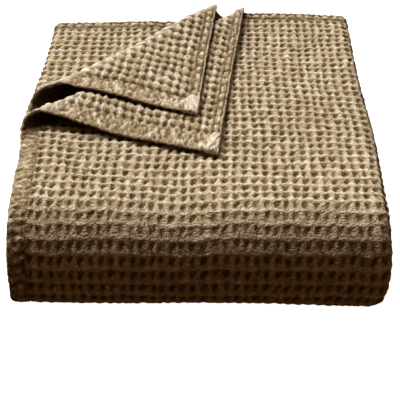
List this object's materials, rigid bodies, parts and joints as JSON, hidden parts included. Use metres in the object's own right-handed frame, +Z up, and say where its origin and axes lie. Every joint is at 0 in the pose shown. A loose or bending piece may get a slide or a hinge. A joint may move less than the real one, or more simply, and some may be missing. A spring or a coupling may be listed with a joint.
{
  "type": "folded cotton waffle blanket",
  "caption": "Thick waffle-woven cotton blanket in tan, folded into a rectangular stack with a round front fold and two hemmed corners turned over at the back left.",
  "frame": {"origin": "on the surface it lies on, under the middle of the folded stack's box", "axes": "+Z up, +X along the front fold to the side where the plies fold, +Y from the front fold to the back edges"},
  "size_m": [0.4234, 0.5694, 0.1502],
  "materials": {
    "waffle_cotton": "matt waffle-woven cotton, dyed tan, with turned and stitched hems"
  },
  "bodies": {
    "root": {"waffle_blanket": "waffle_cotton"}
  },
  "joints": []
}
